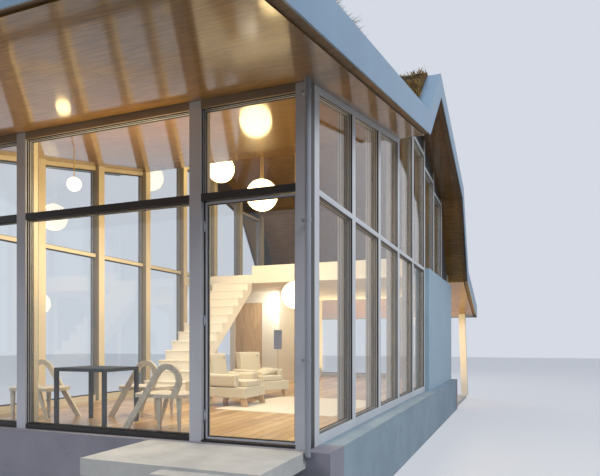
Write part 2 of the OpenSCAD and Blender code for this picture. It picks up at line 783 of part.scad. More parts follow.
plinth_ends();
plinth_sides();
floor_slab();
floor_boards();
landing();
entry_steps();
front_posts();
front_rails();
front_glass();
door_hinges();
door_frame();
door_glass();
side_posts();
side_rails();
side_glass_lower();
side_glass_upper();
side_panels();
gable_infills();
rear_posts();
rear_rails();
rear_glass();
roof_front();
roof_rise();
roof_back();
roof_steep();
roof_porch();
soffit_boards();
roof_grass();
trim_sides();
trim_ends();
porch_deck();
porch_columns();
downpipe();
stair_flight();
gallery_floor();
gallery_parapet();
partition();
partition_door();
table_top();
table_legs();
chair_seats();
chair_frames();
armchair_bases();
armchair_arms();
armchair_backs();
armchair_cushions();
armchair_feet();
rug();
floor_lamp();
pendant_globes();
pendant_stems();
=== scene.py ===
import math
import random

import bmesh
import bpy
from mathutils import Matrix, Vector


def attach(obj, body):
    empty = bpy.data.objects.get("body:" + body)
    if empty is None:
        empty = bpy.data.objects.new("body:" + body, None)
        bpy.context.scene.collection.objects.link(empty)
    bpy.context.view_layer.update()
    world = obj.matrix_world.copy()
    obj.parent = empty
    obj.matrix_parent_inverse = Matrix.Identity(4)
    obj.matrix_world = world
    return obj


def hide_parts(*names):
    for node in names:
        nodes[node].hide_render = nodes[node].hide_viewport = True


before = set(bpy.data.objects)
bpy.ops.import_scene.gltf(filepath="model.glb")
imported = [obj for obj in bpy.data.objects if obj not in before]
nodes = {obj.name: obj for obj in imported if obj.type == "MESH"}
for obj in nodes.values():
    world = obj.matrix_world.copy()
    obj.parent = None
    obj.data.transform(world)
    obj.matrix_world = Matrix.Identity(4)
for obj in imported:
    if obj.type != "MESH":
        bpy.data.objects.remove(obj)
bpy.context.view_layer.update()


# Camera.
# The photograph is taken from the right front corner at standing height, with the
# film plane kept upright and shifted up, so all posts stay plumb.
scene = bpy.context.scene
camera_data = bpy.data.cameras.new("camera")
camera_data.sensor_width = 36.0
camera_data.lens = 33.636
camera_data.shift_y = 0.1716
camera = bpy.data.objects.new("camera", camera_data)
camera.location = (4.770, -11.505, 1.98)
camera.rotation_euler = (math.radians(90), 0, math.radians(21.621))
scene.collection.objects.link(camera)
scene.camera = camera
scene.view_settings.view_transform = "Standard"


def linear(hex_colour):
    """An sRGB hex colour as linear red, green, blue and full alpha."""
    channels = [int(hex_colour[i:i + 2], 16) / 255 for i in (1, 3, 5)]
    return [c / 12.92 if c <= 0.04045 else ((c + 0.055) / 1.055) ** 2.4 for c in channels] + [1.0]


def add(material, kind, inputs=(), **settings):
    """Adds a node, with its settings and what its inputs hold or are linked to."""
    new = material.node_tree.nodes.new(kind)
    for name, value in settings.items():
        setattr(new, name, value)
    for name, value in dict(inputs).items():
        if isinstance(value, bpy.types.NodeSocket):
            material.node_tree.links.new(value, new.inputs[name])
        elif isinstance(value, str):
            new.inputs[name].default_value = linear(value)
        else:
            new.inputs[name].default_value = value
    return new


def start_material(name):
    material = bpy.data.materials.new(name)
    material.use_nodes = True
    material.node_tree.nodes.clear()
    add(material, "ShaderNodeOutputMaterial")
    return material


def close_material(material, shader):
    output = next(n for n in material.node_tree.nodes if n.type == "OUTPUT_MATERIAL")
    material.node_tree.links.new(shader, output.inputs["Surface"])
    return material


def ramp(material, factor, stops):
    """A colour ramp whose stops are (place, hex colour)."""
    new = add(material, "ShaderNodeValToRGB", {"Fac": factor})
    while len(new.color_ramp.elements) < len(stops):
        new.color_ramp.elements.new(1.0)
    for element, (place, colour) in zip(new.color_ramp.elements, stops):
        element.position = place
        element.color = linear(colour)
    return new.outputs["Color"]


def paint(node_name, material):
    mesh = nodes[node_name].data
    mesh.materials.clear()
    mesh.materials.append(material)


def trowelled_render(name, light, dark, grain_mm=3.0, cloud_mm=900.0, cracks_apart_mm=333.0, crack_mm=8.0,
                     worn_mm=1250.0):
    """Painted mineral render: matt, with a sandy grain, faint clouds from the trowel and, in worn
    patches, cracks. The real ones are hairlines, drawn wider so that they show."""
    mat = start_material(name)
    place = add(mat, "ShaderNodeTexCoord").outputs["Object"]
    clouds = add(mat, "ShaderNodeTexNoise", {"Vector": place, "Scale": 1000 / cloud_mm, "Detail": 5.0,
                                             "Roughness": 0.55})
    grain = add(mat, "ShaderNodeTexNoise", {"Vector": place, "Scale": 1000 / grain_mm, "Detail": 3.0})
    painted = ramp(mat, clouds.outputs["Fac"], [(0.3, dark), (0.7, light)])
    bent = add(mat, "ShaderNodeVectorMath", {0: place, 1: clouds.outputs["Color"]}, operation="ADD")
    cells = add(mat, "ShaderNodeTexVoronoi", {"Vector": bent.outputs["Vector"],
                                                 "Scale": 1000 / cracks_apart_mm}, feature="DISTANCE_TO_EDGE")
    line = add(mat, "ShaderNodeMapRange", {"Value": cells.outputs["Distance"],
                                           "From Max": crack_mm / 2 / cracks_apart_mm,
                                           "To Min": 1.0, "To Max": 0.0})
    worn = add(mat, "ShaderNodeTexNoise", {"Vector": place, "Scale": 1000 / worn_mm, "Detail": 2.0})
    patch = add(mat, "ShaderNodeMapRange", {"Value": worn.outputs["Fac"], "From Min": 0.5, "From Max": 0.6,
                                            "To Max": 0.6})
    crack = add(mat, "ShaderNodeMath", {0: line.outputs["Result"], 1: patch.outputs["Result"]},
                operation="MULTIPLY")
    colour = add(mat, "ShaderNodeMix", {"Factor": crack.outputs["Value"], "A": painted, "B": "#4a4b55"},
                 data_type="RGBA").outputs["Result"]
    coat = add(mat, "ShaderNodeBump", {"Height": grain.outputs["Fac"], "Strength": 0.25, "Distance": 0.002})
    wave = add(mat, "ShaderNodeBump", {"Height": clouds.outputs["Fac"], "Strength": 0.2, "Distance": 0.01,
                                       "Normal": coat.outputs["Normal"]})
    shader = add(mat, "ShaderNodeBsdfPrincipled", {"Base Color": colour, "Roughness": 0.82,
                                                   "Normal": wave.outputs["Normal"]})
    return close_material(mat, shader.outputs["BSDF"])


# One render on ends and sides. The blue grey of the sides is painted sky light, the lavender grey of the ends
# painted shade.
render_with_painted_sky_light = trowelled_render("mineral render with painted sky light", "#94a6b2", "#8395a3")
render_with_painted_shade = trowelled_render("mineral render with painted shade", "#94949f", "#83838e")
paint("plinth_ends", render_with_painted_shade)
paint("plinth_sides", render_with_painted_sky_light)
paint("floor_slab", render_with_painted_sky_light)


# Landing, steps and porch deck.
# Precast concrete slabs with a fine float finish. The edges are arrised, and small
# air holes and darker damp patches show in the pale grey.
def float_concrete(name, light, dark, damp_mm=455.0, sand_mm=2.5, holes_apart_mm=16.7):
    mat = start_material(name)
    place = add(mat, "ShaderNodeTexCoord").outputs["Object"]
    damp = add(mat, "ShaderNodeTexNoise", {"Vector": place, "Scale": 1000 / damp_mm, "Detail": 6.0,
                                           "Roughness": 0.6})
    sand = add(mat, "ShaderNodeTexNoise", {"Vector": place, "Scale": 1000 / sand_mm, "Detail": 2.0})
    holes = add(mat, "ShaderNodeTexVoronoi", {"Vector": place, "Scale": 1000 / holes_apart_mm})
    pits = add(mat, "ShaderNodeMapRange", {"Value": holes.outputs["Distance"], "From Min": 0.03,
                                           "From Max": 0.12})
    base = ramp(mat, damp.outputs["Fac"], [(0.3, dark), (0.68, light)])
    speck = add(mat, "ShaderNodeMix", {"Factor": 0.12, "A": base, "B": sand.outputs["Color"]},
                data_type="RGBA", blend_type="OVERLAY")
    fine = add(mat, "ShaderNodeBump", {"Height": sand.outputs["Fac"], "Strength": 0.2, "Distance": 0.001})
    pitted = add(mat, "ShaderNodeBump", {"Height": pits.outputs["Result"], "Strength": 0.35,
                                         "Distance": 0.002, "Normal": fine.outputs["Normal"]})
    shader = add(mat, "ShaderNodeBsdfPrincipled", {"Base Color": speck.outputs["Result"], "Roughness": 0.7,
                                                   "Normal": pitted.outputs["Normal"]})
    return close_material(mat, shader.outputs["BSDF"])


pale_concrete = float_concrete("floated pale concrete", "#c3c3c0", "#a9abaa")


def arris(node_name, width_mm, segments=2):
    """Takes the sharp edge off a solid."""
    edge = nodes[node_name].modifiers.new("arris", "BEVEL")
    edge.width = width_mm / 1000
    edge.segments = segments
    edge.limit_method = "ANGLE"


for name in ("landing", "entry_steps", "porch_deck"):
    paint(name, pale_concrete)
    arris(name, 6)


# Floor boards.
# Oak boards 165 mm wide, planed, oiled and laid lengthways with an open joint. The oil
# gives a soft sheen that mirrors the lamps in long streaks.
def oak_boards(name, board_mm=165.0, length_mm=2200.0, joint_mm=10.0, grain_mm=(22.7, 312.5, 500.0)):
    """The joints are drawn twice as wide as the real 5 mm, so that they show."""
    mat = start_material(name)
    place = add(mat, "ShaderNodeTexCoord").outputs["Object"]
    turn = add(mat, "ShaderNodeMapping", {"Vector": place, "Rotation": (0, 0, math.radians(90))})
    rows = add(mat, "ShaderNodeTexBrick", {
        "Vector": turn.outputs["Vector"], "Scale": 1.0, "Color1": "#000000", "Color2": "#ffffff",
        "Mortar Size": 0.0, "Brick Width": length_mm / 1000, "Row Height": board_mm / 1000}, offset=0.37)
    joints = add(mat, "ShaderNodeTexBrick", {
        "Vector": turn.outputs["Vector"], "Scale": 1.0, "Mortar Size": joint_mm / 2000, "Mortar Smooth": 0.1,
        "Brick Width": length_mm / 1000, "Row Height": board_mm / 1000}, offset=0.37)
    spread = add(mat, "ShaderNodeVectorMath", {0: place, 1: rows.outputs["Color"]}, operation="ADD")
    stretch = add(mat, "ShaderNodeMapping", {"Vector": spread.outputs["Vector"],
                                             "Scale": [1000 / size for size in grain_mm]})
    grain = add(mat, "ShaderNodeTexNoise", {"Vector": stretch.outputs["Vector"], "Scale": 1.0, "Detail": 8.0,
                                            "Roughness": 0.62, "Distortion": 0.6})
    wood = ramp(mat, grain.outputs["Fac"], [(0.25, "#a98353"), (0.5, "#d0ac76"), (0.75, "#e6cb9a")])
    tint = ramp(mat, rows.outputs["Color"], [(0.0, "#c4b094"), (1.0, "#ffffff")])
    toned = add(mat, "ShaderNodeMix", {"Factor": 1.0, "A": wood, "B": tint}, data_type="RGBA",
                blend_type="MULTIPLY")
    dark = add(mat, "ShaderNodeMix", {"Factor": joints.outputs["Fac"], "A": toned.outputs["Result"],
                                      "B": "#3a2415"}, data_type="RGBA")
    pores = add(mat, "ShaderNodeBump", {"Height": grain.outputs["Fac"], "Strength": 0.12, "Distance": 0.001})
    gaps = add(mat, "ShaderNodeBump", {"Height": joints.outputs["Fac"], "Strength": 0.6, "Distance": 0.002,
                                       "Normal": pores.outputs["Normal"]}, invert=True)
    shader = add(mat, "ShaderNodeBsdfPrincipled", {"Base Color": dark.outputs["Result"], "Roughness": 0.34,
                                                   "Coat Weight": 0.25, "Coat Roughness": 0.1,
                                                   "Normal": gaps.outputs["Normal"]})
    return close_material(mat, shader.outputs["BSDF"])


paint("floor_boards", oak_boards("oiled oak boards"))


# Posts.
# Laminated timber posts in folded aluminium casings, powder coated a warm lavender
# grey. Behind the glass their faces are cream, which is painted warm light from the
# room on the same coat. The coat has a fine orange peel.
# The side posts have stepped sides, and the corner posts a black outer side.
house_half_width = 2.75
house_front = -6.155
casing_depth = 0.060


def powder_coat(name, colour, shade, roughness=0.42, drift_mm=770.0, peel_mm=4.0, painted_warm_light=None):
    """painted_warm_light is (axis, metres): cream painted warm light within that distance of the middle."""
    mat = start_material(name)
    place = add(mat, "ShaderNodeTexCoord").outputs["Object"]
    drift = add(mat, "ShaderNodeTexNoise", {"Vector": place, "Scale": 1000 / drift_mm, "Detail": 3.0})
    peel = add(mat, "ShaderNodeTexNoise", {"Vector": place, "Scale": 1000 / peel_mm, "Detail": 1.0})
    tone = ramp(mat, drift.outputs["Fac"], [(0.3, shade), (0.7, colour)])
    if painted_warm_light:
        apart = add(mat, "ShaderNodeSeparateXYZ", {"Vector": place})
        out = add(mat, "ShaderNodeMath", {0: apart.outputs[painted_warm_light[0]]}, operation="ABSOLUTE")
        inside = add(mat, "ShaderNodeMath", {0: out.outputs["Value"], 1: painted_warm_light[1]}, operation="LESS_THAN")
        # Inside the glass the coat turns cream: painted warm light of the room.
        tone = add(mat, "ShaderNodeMix", {"Factor": inside.outputs["Value"], "A": tone, "B": "#dcd1b6"},
                   data_type="RGBA").outputs["Result"]
    gloss = add(mat, "ShaderNodeMapRange", {"Value": drift.outputs["Fac"], "To Min": roughness - 0.05,
                                            "To Max": roughness + 0.07})
    skin = add(mat, "ShaderNodeBump", {"Height": peel.outputs["Fac"], "Strength": 0.06, "Distance": 0.001})
    shader = add(mat, "ShaderNodeBsdfPrincipled", {"Base Color": tone, "Roughness": gloss.outputs["Result"],
                                                   "Normal": skin.outputs["Normal"]})
    return close_material(mat, shader.outputs["BSDF"])


lavender_grey_coat = powder_coat("lavender grey powder coat", "#bdbfc7", "#b0b2ba")
front_post_coat = powder_coat("lavender grey post coat", "#bdbfc7", "#b0b2ba",
                              painted_warm_light=("Y", -house_front - casing_depth))
silver_grey_coat = powder_coat("silver grey powder coat", "#c9cdd0", "#babec3", 0.36,
                               painted_warm_light=("X", house_half_width - casing_depth))
black_coat = powder_coat("black powder coat", "#2a2826", "#22201f", 0.34)
for name in ("rear_posts", "rear_rails"):
    paint(name, lavender_grey_coat)
    arris(name, 4)
paint("front_posts", front_post_coat)
arris("front_posts", 4)
paint("side_posts", silver_grey_coat)
arris("side_posts", 4)


def grooved_coat(name, light, shade, groove, drift_mm=770.0, pitch_mm=33.0, groove_mm=8.0):
    """The sides of a casing that is folded in steps, with a groove at each. The grooves are drawn
    wider than the real 5 mm, so that they show."""
    mat = start_material(name)
    place = add(mat, "ShaderNodeTexCoord").outputs["Object"]
    drift = add(mat, "ShaderNodeTexNoise", {"Vector": place, "Scale": 1000 / drift_mm, "Detail": 3.0})
    apart = add(mat, "ShaderNodeSeparateXYZ", {"Vector": place})
    out = add(mat, "ShaderNodeMath", {0: apart.outputs["X"]}, operation="ABSOLUTE")
    steps = add(mat, "ShaderNodeMath", {0: out.outputs["Value"], 1: pitch_mm / 1000}, operation="DIVIDE")
    within = add(mat, "ShaderNodeMath", {0: steps.outputs["Value"]}, operation="FRACT")
    dark = add(mat, "ShaderNodeMath", {0: within.outputs["Value"], 1: groove_mm / pitch_mm},
               operation="LESS_THAN")
    plain = ramp(mat, drift.outputs["Fac"], [(0.3, shade), (0.7, light)])
    tone = add(mat, "ShaderNodeMix", {"Factor": dark.outputs["Value"], "A": plain, "B": groove},
               data_type="RGBA")
    sunk = add(mat, "ShaderNodeBump", {"Height": dark.outputs["Value"], "Strength": 0.5, "Distance": 0.004},
               invert=True)
    shader = add(mat, "ShaderNodeBsdfPrincipled", {"Base Color": tone.outputs["Result"], "Roughness": 0.45,
                                                   "Normal": sunk.outputs["Normal"]})
    return close_material(mat, shader.outputs["BSDF"])


# The stepped sides of the side posts take a bronze tone, which is painted reflection of the brown room and
# soffit.
side_faces = nodes["side_posts"].data
side_faces.materials.append(grooved_coat("grooved coat with painted bronze reflection", "#a3977f", "#958a74", "#3c362e"))
for face in side_faces.polygons:
    if abs(face.normal.y) > 0.9:
        face.material_index = 1
corner_faces = nodes["front_posts"].data
corner_faces.materials.append(black_coat)
for face in corner_faces.polygons:
    if abs(face.center.x) > house_half_width - 0.001:
        face.material_index = 1


# Rails.
# Aluminium rails between the posts. The front ones are nearly black, but for the head
# rails in a grey whose umber tint is partly painted reflection of the wooden soffit.
# The side ones have the paler grey of their posts.
paint("front_rails", black_coat)
head_rail_z = 4.54
head_rails = nodes["front_rails"].data
# The umber tint is partly painted reflection of the soffit.
head_rails.materials.append(powder_coat("umber grey coat with painted soffit reflection", "#8a7a66", "#7c6d5a", 0.34))
for face in head_rails.polygons:
    if face.center.z > head_rail_z:
        face.material_index = 1
paint("side_rails", silver_grey_coat)
arris("front_rails", 3)
arris("side_rails", 3)


# Glass.
# Clear float glass, cut to size and set in fixed lights. It is nearly colourless, and
# mirrors its surround more and more as the view slants.
def float_glass(name):
    mat = start_material(name)
    clear = add(mat, "ShaderNodeBsdfTransparent", {"Color": "#fdfefe"})
    mirror = add(mat, "ShaderNodeBsdfGlossy", {"Color": "#ffffff", "Roughness": 0.0})
    slant = add(mat, "ShaderNodeLayerWeight", {"Blend": 0.5})
    steep = add(mat, "ShaderNodeMath", {0: slant.outputs["Facing"], 1: 5.0}, operation="POWER")
    share = add(mat, "ShaderNodeMapRange", {"Value": steep.outputs["Value"], "To Min": 0.04, "To Max": 0.75})
    both = add(mat, "ShaderNodeMixShader", {"Fac": share.outputs["Result"], 1: clear.outputs["BSDF"],
                                            2: mirror.outputs["BSDF"]})
    return close_material(mat, both.outputs["Shader"])


clear_float_glass = float_glass("clear float glass")
for name in ("front_glass", "door_glass", "side_glass_lower", "side_glass_upper", "rear_glass"):
    paint(name, clear_float_glass)


# Glazing seals.
# Each light sits between coated aluminium spacers and black rubber strips, which run round
# it in turn on both faces, mitred at the corners. They are pressed in from both sides.
def seal_rings(name, glass_node, body, rings, least_light_m2=0.25, shoulder=0.8, rounding=0.25):
    """Rings round each light, as (start, end, width, material) in mm from the glass's face. Beyond
    its shoulder a ring's outer corner is rounded off."""
    form = bmesh.new()
    form.from_mesh(nodes[glass_node].data)
    bmesh.ops.remove_doubles(form, verts=form.verts, dist=1e-5)
    bmesh.ops.dissolve_limit(form, angle_limit=math.radians(1), verts=form.verts, edges=form.edges)
    points = []
    faces = []
    slots = []
    lights = sorted((f for f in form.faces if f.calc_area() > least_light_m2),
                    key=lambda f: tuple(round(c, 3) for c in f.calc_center_median()))
    for light in lights:
        normal = light.normal.copy()
        loop = [v.co.copy() for v in light.verts]
        count = len(loop)
        for place, (start, end, width, _) in enumerate(rings):
            inset = []
            for k in range(count):
                before = (loop[k] - loop[k - 1]).normalized()
                after = (loop[(k + 1) % count] - loop[k]).normalized()
                inward = normal.cross(before) + normal.cross(after)
                inset.append(inward / (1 + normal.cross(before).dot(normal.cross(after))) * width / 1000)
            first = len(points)
            low = normal * (start / 1000)
            high = normal * (end / 1000)
            soft = (high - low) * rounding
            for k in range(count):
                points += [loop[k] + low, loop[k] + high, loop[k] + inset[k] * shoulder + high,
                           loop[k] + inset[k] + high - soft, loop[k] + inset[k] + low]
            for k in range(count):
                here = first + 5 * k
                there = first + 5 * ((k + 1) % count)
                for j in range(5):
                    faces.append((here + j, there + j, there + (j + 1) % 5, here + (j + 1) % 5))
                    slots.append(place)
    form.free()
    mesh = bpy.data.meshes.new(name)
    mesh.from_pydata([tuple(q) for q in points], [], faces)
    for ring in rings:
        mesh.materials.append(ring[3])
    for face, place in zip(mesh.polygons, slots):
        face.material_index = place
    piece = bpy.data.objects.new(name, mesh)
    scene.collection.objects.link(piece)
    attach(piece, body)


def seal_rubber(name, dust_mm=111.0):
    mat = start_material(name)
    place = add(mat, "ShaderNodeTexCoord").outputs["Object"]
    dust = add(mat, "ShaderNodeTexNoise", {"Vector": place, "Scale": 1000 / dust_mm, "Detail": 4.0})
    tone = ramp(mat, dust.outputs["Fac"], [(0.35, "#161616"), (0.7, "#232324")])
    shader = add(mat, "ShaderNodeBsdfPrincipled", {"Base Color": tone, "Roughness": 0.55})
    return close_material(mat, shader.outputs["BSDF"])


black_rubber = seal_rubber("black seal rubber")
spacer_coat = powder_coat("pale silver powder coat", "#d3d5d8", "#c2c5c9", 0.3)
seal_layers = [(0.2, 9, 9, spacer_coat), (9, 20, 13, black_rubber), (20, 33, 7, spacer_coat),
               (33, 43, 9, black_rubber)]
seal_rings("front_seals", "front_glass", "house", seal_layers)
seal_rings("lower_seals", "side_glass_lower", "house", seal_layers)
seal_rings("upper_seals", "side_glass_upper", "house", seal_layers)
seal_rings("rear_seals", "rear_glass", "house", seal_layers)
seal_rings("door_seals", "door_glass", "door", [(0.2, 10, 6, black_rubber)])


# Entrance door.
# A glazed leaf in a slim aluminium frame, hung on three barrel hinges of brushed
# stainless steel.
paint("door_frame", lavender_grey_coat)


def brushed_steel(name, brush_mm=(33.3, 33.3, 0.556)):
    mat = start_material(name)
    place = add(mat, "ShaderNodeTexCoord").outputs["Object"]
    drawn = add(mat, "ShaderNodeMapping", {"Vector": place, "Scale": [1000 / size for size in brush_mm]})
    lines = add(mat, "ShaderNodeTexNoise", {"Vector": drawn.outputs["Vector"], "Scale": 1.0, "Detail": 4.0})
    tone = ramp(mat, lines.outputs["Fac"], [(0.3, "#9fa1a5"), (0.7, "#c4c6c9")])
    rough = add(mat, "ShaderNodeMapRange", {"Value": lines.outputs["Fac"], "To Min": 0.25, "To Max": 0.42})
    shader = add(mat, "ShaderNodeBsdfPrincipled", {"Base Color": tone, "Metallic": 1.0,
                                                   "Roughness": rough.outputs["Result"]})
    return close_material(mat, shader.outputs["BSDF"])


paint("door_hinges", brushed_steel("brushed stainless steel"))


# Side panels and gable panels.
# The rear bays are closed by flat aluminium cassettes in pale blue, and the corners of
# the gable behind the ridge by dark grey sheet.
paint("side_panels", powder_coat("pale blue powder coat", "#9bb4c5", "#90aabb", 0.5))
arris("side_panels", 5)
paint("gable_infills", powder_coat("dark grey powder coat", "#3b3d41", "#33353a", 0.5))


# Roof slabs and soffit.
# The slabs are timber boxes. Their underside is lined with varnished oak veneer panels,
# butted and each a little apart in tone, and the gloss mirrors the lamps below. The
# veneer's dark brown is partly its own and partly painted shade, standing in for a
# dark ground below.
def varnished_veneer(name, panel_mm=1220.0, length_mm=2440.0, grain_mm=(278.0, 23.8, 23.8)):
    mat = start_material(name)
    place = add(mat, "ShaderNodeTexCoord").outputs["Object"]
    rows = add(mat, "ShaderNodeTexBrick", {
        "Vector": place, "Scale": 1.0, "Color1": "#000000", "Color2": "#ffffff", "Mortar Size": 0.0,
        "Brick Width": panel_mm / 1000, "Row Height": length_mm / 1000}, offset=0.0)
    spread = add(mat, "ShaderNodeVectorMath", {0: place, 1: rows.outputs["Color"]}, operation="ADD")
    stretch = add(mat, "ShaderNodeMapping", {"Vector": spread.outputs["Vector"],
                                             "Scale": [1000 / size for size in grain_mm]})
    grain = add(mat, "ShaderNodeTexNoise", {"Vector": stretch.outputs["Vector"], "Scale": 1.0, "Detail": 7.0,
                                            "Roughness": 0.6, "Distortion": 0.4})
    # Darker than oak's own colour: partly painted shade.
    wood = ramp(mat, grain.outputs["Fac"], [(0.28, "#5a4020"), (0.5, "#80602f"), (0.75, "#97753c")])
    tint = ramp(mat, rows.outputs["Color"], [(0.0, "#dccfc0"), (1.0, "#ffffff")])
    toned = add(mat, "ShaderNodeMix", {"Factor": 1.0, "A": wood, "B": tint}, data_type="RGBA",
                blend_type="MULTIPLY")
    ripple = add(mat, "ShaderNodeBump", {"Height": grain.outputs["Fac"], "Strength": 0.05, "Distance": 0.001})
    shader = add(mat, "ShaderNodeBsdfPrincipled", {
        "Base Color": toned.outputs["Result"], "Roughness": 0.4, "Specular IOR Level": 0.15,
        "Coat Weight": 1.0, "Coat IOR": 1.36, "Coat Roughness": 0.09, "Normal": ripple.outputs["Normal"]})
    return close_material(mat, shader.outputs["BSDF"])


paint("soffit_boards", varnished_veneer("varnished oak veneer"))


def sawn_timber(name, grain_mm=(500.0, 27.8, 27.8)):
    mat = start_material(name)
    place = add(mat, "ShaderNodeTexCoord").outputs["Object"]
    stretch = add(mat, "ShaderNodeMapping", {"Vector": place, "Scale": [1000 / size for size in grain_mm]})
    grain = add(mat, "ShaderNodeTexNoise", {"Vector": stretch.outputs["Vector"], "Scale": 1.0, "Detail": 6.0})
    tone = ramp(mat, grain.outputs["Fac"], [(0.3, "#5e4a35"), (0.7, "#7b6349")])
    shader = add(mat, "ShaderNodeBsdfPrincipled", {"Base Color": tone, "Roughness": 0.75})
    return close_material(mat, shader.outputs["BSDF"])


roof_timber = sawn_timber("sawn roof timber")
for name in ("roof_front", "roof_rise", "roof_back", "roof_steep", "roof_porch"):
    paint(name, roof_timber)


# Roof trim and downpipe.
# Folded aluminium sheet in pale blue powder coat along every edge of the roof, with a
# flange that holds the grass mat. The downpipe is a grey coated steel tube. Its cut end
# is coated black, as painted shade of the dark open bore.
pale_blue_trim = powder_coat("pale blue trim coat", "#7391ab", "#68869f", 0.34)
for name in ("trim_sides", "trim_ends"):
    paint(name, pale_blue_trim)
paint("downpipe", powder_coat("grey pipe coat", "#9a9ea6", "#8d9199"))
# The lowest downward faces, the cut end, take the black coat: painted shade of the open bore.
pipe_faces = nodes["downpipe"].data
pipe_faces.materials.append(black_coat)
pipe_end_z = min(face.center.z for face in pipe_faces.polygons)
for face in pipe_faces.polygons:
    if face.normal.z < -0.9 and face.center.z < pipe_end_z + 0.002:
        face.material_index = 1
arris("trim_sides", 3)
arris("trim_ends", 3)


# Roof grass.
# A mat of dry dune grass grown in thin soil. Tufts of 60 to 190 mm stand on all slopes
# and near the front lean out over the flange, brown with green, straw and rust among them.
def dry_soil(name, patch_mm=333.0, crumb_mm=11.1):
    mat = start_material(name)
    place = add(mat, "ShaderNodeTexCoord").outputs["Object"]
    patch = add(mat, "ShaderNodeTexNoise", {"Vector": place, "Scale": 1000 / patch_mm, "Detail": 8.0,
                                            "Roughness": 0.7})
    crumb = add(mat, "ShaderNodeTexNoise", {"Vector": place, "Scale": 1000 / crumb_mm, "Detail": 4.0})
    tone = ramp(mat, patch.outputs["Fac"], [(0.3, "#332918"), (0.55, "#4b3d25"), (0.75, "#5c522e")])
    bump = add(mat, "ShaderNodeBump", {"Height": crumb.outputs["Fac"], "Strength": 0.8, "Distance": 0.01})
    shader = add(mat, "ShaderNodeBsdfPrincipled", {"Base Color": tone, "Roughness": 0.95,
                                                   "Normal": bump.outputs["Normal"]})
    return close_material(mat, shader.outputs["BSDF"])


def grass_blade(name, clump_mm=166.7, blade_mm=22.22):
    mat = start_material(name)
    place = add(mat, "ShaderNodeTexCoord").outputs["Object"]
    clump = add(mat, "ShaderNodeTexNoise", {"Vector": place, "Scale": 1000 / clump_mm, "Detail": 4.0})
    blade = add(mat, "ShaderNodeTexNoise", {"Vector": place, "Scale": 1000 / blade_mm, "Detail": 1.0})
    mixed = add(mat, "ShaderNodeMath", {0: clump.outputs["Fac"], 1: blade.outputs["Fac"]}, operation="ADD")
    half = add(mat, "ShaderNodeMath", {0: mixed.outputs["Value"], 1: 0.5}, operation="MULTIPLY")
    tone = ramp(mat, half.outputs["Value"], [(0.32, "#3c4a22"), (0.43, "#665b2f"), (0.52, "#8f7443"),
                                             (0.6, "#764b2a"), (0.72, "#b0945c")])
    shader = add(mat, "ShaderNodeBsdfPrincipled", {"Base Color": tone, "Roughness": 0.7})
    return close_material(mat, shader.outputs["BSDF"])


paint("roof_grass", dry_soil("dry roof soil"))

floor_z = 0.88
# Folds of the soffit as (y, z) in metres: front eave, valley, ridge, knee, rear wall, porch eave
folds = [Vector((house_front + y, floor_z + z)) for y, z in (
    (-2.760, 3.197), (4.450, 4.654), (5.855, 5.871), (10.070, 4.885), (11.550, 2.814), (15.070, 1.915))]
roof_thick = 0.377
mat_thick = 0.060
roof_half_width = 3.306
flange_width = 0.260
mat_half_width = roof_half_width - flange_width
dry_blade = grass_blade("dry dune grass")


def slope_up(i):
    run = (folds[i + 1] - folds[i]).normalized()
    return Vector((-run.y, run.x))


def fold_above(i, height):
    """A fold moved out square to both slopes, and at the eaves straight up."""
    if i == 0:
        return folds[0] + Vector((0, height / slope_up(0).y))
    if i == len(folds) - 1:
        return folds[i] + Vector((0, height / slope_up(i - 1).y))
    before = slope_up(i - 1)
    after = slope_up(i)
    return folds[i] + height * (before + after) / (1 + before.dot(after))


def add_blade(points, faces, rng, root, lean, tall):
    """One folded blade: a strip of two parts that narrows to a tip and droops."""
    wide = Vector((rng.uniform(-1, 1), rng.uniform(-1, 1), 0)).normalized() * rng.uniform(0.005, 0.010)
    middle = root + lean * tall * 0.6
    droop = Vector((rng.gauss(0, 0.2), rng.gauss(0, 0.2), -0.12)) * tall
    first = len(points)
    points += [root - wide, root + wide, middle + wide * 0.7, middle - wide * 0.7, root + lean * tall + droop]
    faces += [(first, first + 1, first + 2, first + 3), (first + 3, first + 2, first + 4)]


